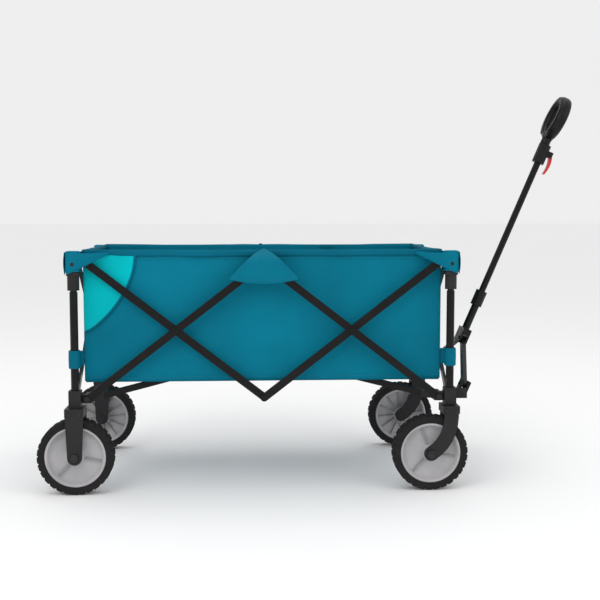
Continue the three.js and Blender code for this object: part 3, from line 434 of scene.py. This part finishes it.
def rim():
    inset, above = 0.001, 0.002
    height = RIM_Z - RIM_BINDING / 2 + above
    for side, sign in SIDES.items():
        y = sign * (HALF_Y - inset)
        ends = [Vector((MIDDLE_X + e * HALF_X, y, height)) for e in (-1, 1)]
        rim_binding(f"rim_{side}", *ends, Vector((0, sign, 0)), f"top_rear_{side}", folds_with_side)
    for end, sign in ENDS.items():
        x = MIDDLE_X + sign * (HALF_X - inset)
        ends = [Vector((x, e * HALF_Y, height)) for e in (-1, 1)]
        rim_binding(f"rim_{end}", *ends, Vector((sign, 0, 0)), f"top_{end}_right", folds_with_end)


# How the floor lies over the spider: a flat crown over the hub, falling to a sunk edge.
CROWN_X, CROWN_Y = 0.080, 0.050
EDGE_RISE = 0.0055
CROWN_DROP = 0.006
BOARD_THICKNESS = 0.004
BOARD_OVERLAP = 0.002  # the boards reach past the CAD floor, to close the gap at the panels
BOARD_SEAM = 0.006  # share of a board's width left open at each side
QUILT_RISE = 0.0012
BOARD_DROP = 0.001


def floor_height(x, y):
    run = min((floor_high.x - floor_low.x) / 2 - abs(x), 1.0) / (HALF_X - CROWN_X)
    across = (floor_high.y - abs(y)) / (floor_high.y - CROWN_Y)
    rise = max(0.0, min(1.0, run, across))
    return floor_low.z + EDGE_RISE + (floor_high.z - floor_low.z - CROWN_DROP) * rise


def floor_strips():
    """The floor mat in three long boards, with a seam between each two."""
    half_x = (floor_high.x - floor_low.x) / 2 + BOARD_OVERLAP
    half_y = floor_high.y + BOARD_OVERLAP
    seam = half_y / 3
    homes = (("right", -half_y, -seam, "top_rear_right"), ("middle", -seam, seam, "spider_hub"),
             ("left", seam, half_y, "top_rear_left"))
    for name, low, high, body in homes:
        def place(u, v, low=low, high=high):
            x = half_x * (2 * u - 1)
            y = low + (high - low) * (BOARD_SEAM + (1 - 2 * BOARD_SEAM) * v)
            quilt = QUILT_RISE * math.sin(math.pi * v) ** 0.4
            return Vector((MIDDLE_X + x, y, floor_height(x, y) + quilt - BOARD_DROP))

        mesh = grid_mesh(96, 20, place)
        strip = make_piece(f"floor_board_{name}", *mesh, TEAL_LINING, body, "fabric", BOARD_THICKNESS,
                           offset=-1)
        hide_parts("floor_mat")
        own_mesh(strip)


def corner_cap(end, side):
    """The sewn cap over a post's top, with a flap along each rim and a snap."""
    centre = post_centre(end, side)
    body = f"top_{end}_{side}"
    clearance, tall, half = 0.003, 0.047, 0.0168
    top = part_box(f"top_fitting_{end}_{side}")[1].z + clearance
    foot = top - tall
    # Share of the height, and of the half width.
    levels = [(0.0, 1.06), (0.03, 1.06), (0.06, 1.0), (0.5, 0.985), (0.86, 1.0), (0.95, 0.97),
              (0.99, 0.88), (1.0, 0.7)]
    rings = [squircle(centre, half * s, foot + (top - foot) * t) for t, s in levels]
    make_piece(f"corner_cap_{end}_{side}", *loft(rings), TEAL, body, "fabric")
    sx, sy = ENDS[end], SIDES[side]
    rim_corner = Vector((MIDDLE_X + sx * HALF_X, sy * HALF_Y, 0))
    reach, overlap, root_depth, tip_depth = 0.094, 0.012, 0.046, 0.006
    off_cap, under_top, rim_lap, sag, puff = 0.0006, 0.002, 0.002, 0.003, 0.0025
    for kind in ("side", "end"):
        along = Vector((-sx, 0, 0)) if kind == "side" else Vector((0, -sy, 0))
        out = Vector((0, sy, 0)) if kind == "side" else Vector((sx, 0, 0))
        gap = abs((centre + out * (half + 0.001) - rim_corner).dot(out))
        start = centre + out * (half + off_cap)

        def place(u, v):
            depth = root_depth * (1 - u) ** 1.15 + tip_depth
            point = start + along * (reach * u - overlap) - out * (gap - rim_lap) * u ** 2.2
            point.z = top - under_top - depth * v - sag * math.sin(math.pi * u)
            return point + out * puff * math.sin(math.pi * v) * (1 - u)

        make_piece(f"cap_flap_{kind}_{end}_{side}", *grid_mesh(24, 10, place), TEAL, body, "fabric", 0.0014)
    snap_at = centre + Vector((0, sy * (half + 0.001), 0))
    snap_at.z = foot + 0.017
    rivet(f"cap_snap_{end}_{side}", snap_at, sy, 0.0052, 0.0026, body)


def disc(name, at, outward, radius, height, material, body, slot):
    """A domed round head on a surface, facing outward."""
    turn = Vector((0, 0, 1)).rotation_difference(outward)
    dome = [(1.0, 0.0), (1.0, 0.45), (0.9, 0.75), (0.62, 0.95), (0.25, 1.0)]
    rings = []
    for r, h in dome:
        circle = [Vector((radius * r * math.cos(a), radius * r * math.sin(a), height * h))
                  for a in on_circle(20)]
        rings.append([at + turn @ point for point in circle])
    make_piece(name, *loft(rings), material, body, slot)


def rivet(name, at, sign, radius, height, body):
    """A rivet, snap or axle cap that faces out of the wagon's side."""
    disc(name, at, Vector((0, sign, 0)), radius, height, RIVET, body, "fitting_plastic")


def centre_flap(side):
    """The tent-shaped flap that hangs from the rim over a side's top hinge."""
    sign = SIDES[side]
    body = f"top_hinge_{side}"
    above, drop, sag, shoulder = 0.003, 0.070, 0.010, 0.006
    top_half_width, spread, crease_depth, inset = 0.012, 0.070, 0.013, 0.001

    def place(u, v):
        across = 2 * u - 1
        x = MIDDLE_X + across * (top_half_width + spread * v ** 0.8)
        sagging = sag * (1 - across * across) * v
        z = RIM_Z + above - drop * v - sagging - shoulder * abs(across) * (1 - v)
        out = HALF_Y + (FLAP_Y - HALF_Y) * min(1, math.sin(math.pi / 2 * min(1, v * 2.4)))
        crease = crease_depth * (1 - abs(across)) * v
        return Vector((x, sign * (out + crease - inset), z))

    flap = make_piece(f"centre_flap_{side}", *grid_mesh(36, 22, place), TEAL, body, "fabric", PANEL_CLOTH)
    lift = Vector((0, sign * 0.0012, 0))
    threads = []
    for from_hem in (0.0, 0.045):
        near, far, foot = 0.04 + from_hem, 0.96 - from_hem, 0.95 - from_hem
        lower = [place(near + (0.92 - 2 * from_hem) * t / 16, foot) for t in range(17)]
        edges = [place(near, t / 10) for t in range(1, 10)]
        others = [place(far, t / 10) for t in range(1, 10)]
        for path in (lower, edges, others):
            raised = [point + lift for point in path]
            threads.append(stitch_row(f"flap_stitches_{side}_{len(threads)}", raised, body))


def pocket_patch():
    """The aqua quarter patch at the rear top corner of the right side, with its bound curved edge."""
    body = "top_rear_right"
    top, depth, width = RIM_Z - RIM_BINDING * 0.6, 0.182, 0.116
    from_corner, least_width, off_panel, puff = 0.001, 0.003, 0.0006, 0.0014

    def edge(v):
        return width * math.cos(v * math.pi / 2) ** 0.75 if v < 1 else 0.0

    def place(u, v):
        x = panel_low.x + from_corner + (edge(v) + least_width) * u
        out = HALF_Y + off_panel + puff * math.sin(math.pi * u) * math.sin(math.pi * v)
        return Vector((x, -out, top - depth * v))

    mesh = grid_mesh(24, 40, place)
    patch = folds_with_side(make_piece("pocket_patch", *mesh, AQUA, body, "fabric", 0.001))
    half_width, half_thick = 0.0026, 0.0012
    out = Vector((0, -1, 0))
    curve = [place(1, t / 40) + Vector((0.001, -0.0006, 0)) for t in range(41)]
    rings = []
    for a, b in zip(curve, curve[1:] + [curve[-1] + (curve[-1] - curve[-2])]):
        across = (b - a).normalized().cross(out).normalized()
        rings.append([a + across * half_width * math.cos(angle) + out * half_thick * math.sin(angle)
                      for angle in on_circle(8)])
    piping = folds_with_side(make_piece("pocket_piping", *loft(rings), TEAL_BINDING, body, "fabric"))


def post_loop(end, side):
    """A webbing loop that ties the basket's lower corner to its post."""
    centre = post_centre(end, side)
    body = f"top_{end}_{side}"
    sx, sy = ENDS[end], SIDES[side]
    low, tall, half, thick, roundness = PANEL_FOOT + 0.034, 0.042, 0.0135, 0.0018, 2.6
    # Share of the height, and of the half width.
    levels = [(0.0, 0.93), (0.04, 1.0), (0.5, 1.03), (0.96, 1.0), (1.0, 0.93)]
    outer = [squircle(centre, half * s, low + tall * t, roundness) for t, s in levels]
    inner = [squircle(centre, half * s - thick, low + tall * t, roundness) for t, s in reversed(levels)]
    make_piece(f"post_loop_{end}_{side}", *loft(outer + inner, loop=True), TEAL_BINDING, body, "fabric")
    inside_loop, past_corner, hem = 0.009, 0.0005, 0.003
    start = centre + Vector((-sx * inside_loop, -sy * inside_loop, 0))
    finish = Vector((MIDDLE_X + sx * (HALF_X + past_corner), sy * (HALF_Y + past_corner), 0))

    def place(u, v):
        point = start.lerp(finish, u)
        point.z = low + hem + (tall - 2 * hem) * v
        return point

    make_piece(f"post_tab_{end}_{side}", *grid_mesh(6, 8, place), TEAL_BINDING, body, "fabric", 0.002)


# ---- Wheels ----
def wheel_ring(profile, segments, vary=None):
    """A closed profile of (radius, width) turned about Y; vary(angle, radius, width) may move a point."""
    rings = []
    for angle in on_circle(segments):
        ring = []
        for radius, width in profile:
            r, w = vary(angle, radius, width) if vary else (radius, width)
            ring.append(Vector((r * math.cos(angle), w, r * math.sin(angle))))
        rings.append(ring)
    return loft(rings, loop=True)


def moved(mesh, centre):
    vertices, faces = mesh
    return [v + centre for v in vertices], faces


def tyre(name, centre, outer, inner, half, body):
    """Chunky blocks in three staggered rows over a rounded carcass."""
    # Share of the half width, and of the depth from the rim to the tread.
    crown = [(-1.0, 0.80), (-0.97, 0.93), (-0.86, 0.985), (-0.62, 1.0), (-0.34, 1.0), (-0.28, 1.0),
             (-0.12, 1.0), (0.12, 1.0), (0.28, 1.0), (0.34, 1.0), (0.62, 1.0), (0.86, 0.985),
             (0.97, 0.93), (1.0, 0.80)]
    bead = half * 0.86
    profile = [(inner, -bead)]
    profile += [(inner + (outer - inner) * h, half * w) for w, h in crown]
    profile += [(inner, bead)]
    groove, blocks, points_each = 0.0032, 30, 6
    tread_from = inner + (outer - inner) * 0.7
    row_gap_from, row_gap_to, middle_row, shoulder_row = 0.26, 0.36, 0.3, 0.9
    block_share, shoulder_share = 0.7, 0.97

    def tread(angle, radius, width):
        if radius < tread_from:
            return radius, width
        across = abs(width) / half
        if row_gap_from < across < row_gap_to:
            return radius - groove, width
        stagger = 0.5 if across < middle_row else 0.0
        phase = (angle / (2 * math.pi) * blocks + stagger) % 1.0
        if phase <= block_share:
            return radius, width
        return radius - groove, width * (shoulder_share if across > shoulder_row else 1)

    mesh = moved(wheel_ring(profile, blocks * points_each, tread), centre)
    piece = make_piece(f"tread_{name}", *mesh, TYRE, body, "tyre")
    flat_shaded(piece)
    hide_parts(f"tyre_{name}")


def rim_piece(name, centre, radius, half, side, body):
    """A dished rim: raised lip, sunk web with three ribs outside and twelve fins inside, stepped hub."""
    out = SIDES[side]
    edge = radius - 0.0003
    # Radius, and share of the half width: over the outer face, then back over the inner one.
    face = [(0.0062, 1.0), (0.0105, 1.0), (0.0125, 0.93), (0.0185, 0.86), (0.0205, 0.34), (0.030, 0.26),
            (0.050, 0.24), (0.0605, 0.30), (0.0635, 0.62), (0.0655, 0.88), (0.0685, 0.97), (edge, 0.93)]
    back = [(edge, -0.93), (0.0665, -0.97), (0.0645, -0.7), (0.062, -0.18), (0.024, -0.12),
            (0.0195, -0.2), (0.018, -0.86), (0.012, -0.95), (0.0062, -0.95)]
    profile = [(r, out * half * w) for r, w in face + back]
    if out > 0:
        profile.reverse()
    mesh = moved(wheel_ring(profile, 96), centre)
    piece = make_piece(f"wheel_rim_{name}", *mesh, RIM_PLASTIC, body, "rim_plastic")
    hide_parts(f"rim_{name}")
    vertices, faces = [], []
    at_hub, at_lip, sunk = 0.019, 0.0625, 0.1
    # How many, the first one's angle, the face, the half thickness, the share of the half width at the lip.
    for count, start, face_out, thick, reach in ((3, 1.9, out, 0.0021, 0.42), (12, 0.1, -out, 0.0009, 0.45)):
        level = face_out * half
        outline = ((at_hub, sunk), (at_lip, sunk), (at_lip, reach), (at_hub, reach + 0.2))
        for turn in on_circle(count):
            along = Vector((math.cos(start + turn), 0, math.sin(start + turn)))
            across = Vector((-along.z, 0, along.x)) * thick
            corners = [along * r + Vector((0, level * share, 0)) for r, share in outline]
            faces += bar_faces(len(vertices))
            vertices += [centre + c + across for c in corners] + [centre + c - across for c in corners]
    flat_shaded(make_piece(f"wheel_ribs_{name}", vertices, faces, HUB_PLASTIC, body, "rim_plastic"))


def wheels():
    rim_gap, rim_inset, plate_inset = 0.0003, 0.002, 0.003
    rivets = ((-0.012, 0.101), (0.011, 0.099))  # along from the post, and up from the axle
    for end in ENDS:
        for side, sy in SIDES.items():
            name = f"{end}_{side}"
            low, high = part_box(f"tyre_{name}")
            centre = (low + high) / 2
            inner = (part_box(f"rim_{name}")[1].z - centre.z) + rim_gap
            half = (high.y - low.y) / 2
            tyre(name, centre, WHEEL_RADIUS, inner, half, f"wheel_{name}")
            rim_piece(name, centre, inner, half - rim_inset, side, f"wheel_{name}")
            fork_kind, owner_kind = ("fixed_fork", "corner") if end == "rear" else ("caster_fork", "caster")
            owner = f"{owner_kind}_{name}"
            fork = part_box(f"{fork_kind}_{name}")
            outer = fork[1].y if sy > 0 else fork[0].y
            rivet(f"axle_cap_{name}", Vector((centre.x, outer, centre.z)), sy, 0.0098, 0.003, owner)
            post = post_centre(end, side)
            for k, (dx, dz) in enumerate(rivets):
                at = Vector((post.x + dx, outer - sy * plate_inset, centre.z + dz))
                rivet(f"fork_rivet_{name}_{k}", at, sy, 0.0042, 0.0016, owner)


# ---- Pull handle ----
def grip():
    """The grip ring as a full round section, with its neck, a grey back plate and two screws."""
    low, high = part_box("grip_ring")
    tube_low, tube_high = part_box("handle_mid_tube")
    slope = (Vector((tube_high.x, 0, tube_high.z)) - Vector((tube_low.x, 0, tube_low.z))).normalized()
    lean = math.atan2(slope.x, slope.z)
    up = Vector((math.sin(lean), 0, math.cos(lean)))
    front = Vector((math.cos(lean), 0, -math.sin(lean)))
    radius = (high.y - low.y) / 2
    half_thick, tube_radius, roundness = 0.014, 0.0105, 2.8
    path_radius = radius - tube_radius
    top = high.z - half_thick * math.sin(lean)
    middle_x = high.x - radius * math.sin(lean) - half_thick * math.cos(lean)
    centre = Vector((middle_x, 0, top - radius * math.cos(lean)))

    def outward(angle):
        return up * math.cos(angle) + Vector((0, 1, 0)) * math.sin(angle)

    hoop = []
    for angle in on_circle(72):
        out = outward(angle)
        ring = []
        for a in on_circle(20):
            scale = squared(a, roundness)
            ring.append(centre + out * (path_radius + tube_radius * scale * math.cos(a))
                        + front * (half_thick * scale * math.sin(a)))
        hoop.append(ring)
    ring_piece = make_piece("grip_hoop", *loft(hoop, loop=True), BLACK_PLASTIC, "handle_top", "grip")
    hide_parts("grip_ring")
    neck_foot = 0.0125
    neck = []
    for t, r in ((-0.0035, 0.0112), (0.002, 0.0124), (0.010, 0.0122), (0.018, 0.014), (0.026, 0.017)):
        base = centre - up * (radius + neck_foot - t)
        neck.append([base + front * r * math.cos(a) + Vector((0, r * math.sin(a), 0)) for a in on_circle(24)])
    make_piece("grip_neck", *loft(neck), BLACK_PLASTIC, "handle_top", "grip")
    half_plate, plate_thick, sunk = 0.0065, 0.0012, 0.0004
    plate_outer, plate_inner = path_radius + half_plate, path_radius - half_plate
    plate = [(plate_outer, 0.0), (plate_outer, plate_thick), (plate_inner, plate_thick), (plate_inner, 0.0)]
    arcs = []
    for k in range(49):
        out = outward(math.radians(-150 + 300 * k / 48))
        arcs.append([centre + out * r - front * (half_thick + depth - sunk) for r, depth in plate])
    make_piece("grip_back_plate", *loft(arcs), GREY_PLASTIC, "handle_top", "grip")
    for k, angle in enumerate((-0.9, 0.9)):
        at = centre + outward(angle) * path_radius - front * (half_thick + 0.0006)
        disc(f"grip_screw_{k}", at, -front, 0.003, 0.0012, RIVET, "handle_top", "grip")


# ---- Studio ----
def area_light(name, place, target, size, power):
    data = bpy.data.lights.new(name, "AREA")
    data.shape = "RECTANGLE"
    data.size, data.size_y = size
    data.energy = power
    light = bpy.data.objects.new(name, data)
    light.location = place
    light.rotation_euler = (Vector(target) - Vector(place)).to_track_quat("-Z", "Y").to_euler()
    bpy.context.scene.collection.objects.link(light)


def studio():
    """White surroundings, three soft lights, and a floor that reaches past everything in view."""
    brightness, reach, below = 0.86, 60.0, 0.0005
    world = bpy.data.worlds.new("studio")
    world.use_nodes = True
    world.node_tree.nodes["Background"].inputs["Color"].default_value = (1, 1, 1, 1)
    world.node_tree.nodes["Background"].inputs["Strength"].default_value = brightness
    scene = bpy.context.scene
    scene.world = world
    scene.view_settings.view_transform = "Standard"

    def place(u, v):
        return Vector((reach * (2 * u - 1), reach * (2 * v - 1), -below))

    vertices, faces = grid_mesh(12, 12, place)
    mesh = bpy.data.meshes.new("studio_floor")
    mesh.from_pydata([tuple(v) for v in vertices], [], faces)
    mesh.materials.append(backdrop_material())
    ground = bpy.data.objects.new("studio_floor", mesh)
    scene.collection.objects.link(ground)
    area_light("key", (-1.6, -2.6, 2.6), target=(0, 0, 0.3), size=(2.2, 2.2), power=26)
    area_light("fill", (2.4, -2.2, 1.6), target=(0, 0, 0.35), size=(2.0, 2.0), power=10)
    area_light("top", (0, 0.4, 3.2), target=(0, 0, 0.2), size=(3.0, 2.0), power=14)


def camera():
    """A little above the rim and behind the middle, turned slightly forward and down at the right side."""
    left_of_middle, distance, height = 0.048, 2.632, 0.657
    yaw, pitch = math.radians(3.16), math.radians(-4.85)
    data = bpy.data.cameras.new("camera")
    data.lens = 61.67
    data.sensor_width = 36.0
    eye = bpy.data.objects.new("camera", data)
    eye.location = (MIDDLE_X - left_of_middle, -distance, height)
    eye.rotation_euler = (math.pi / 2 + pitch, 0, -yaw)
    bpy.context.scene.collection.objects.link(eye)
    bpy.context.scene.camera = eye


camera()
studio()
dress_cad_nodes()
for side_name in SIDES:
    side_panel(side_name)
    centre_flap(side_name)
for end_name in ENDS:
    end_panel(end_name)
    for side_name in SIDES:
        corner_cap(end_name, side_name)
        post_loop(end_name, side_name)
rim()
floor_strips()
pocket_patch()
wheels()
grip()
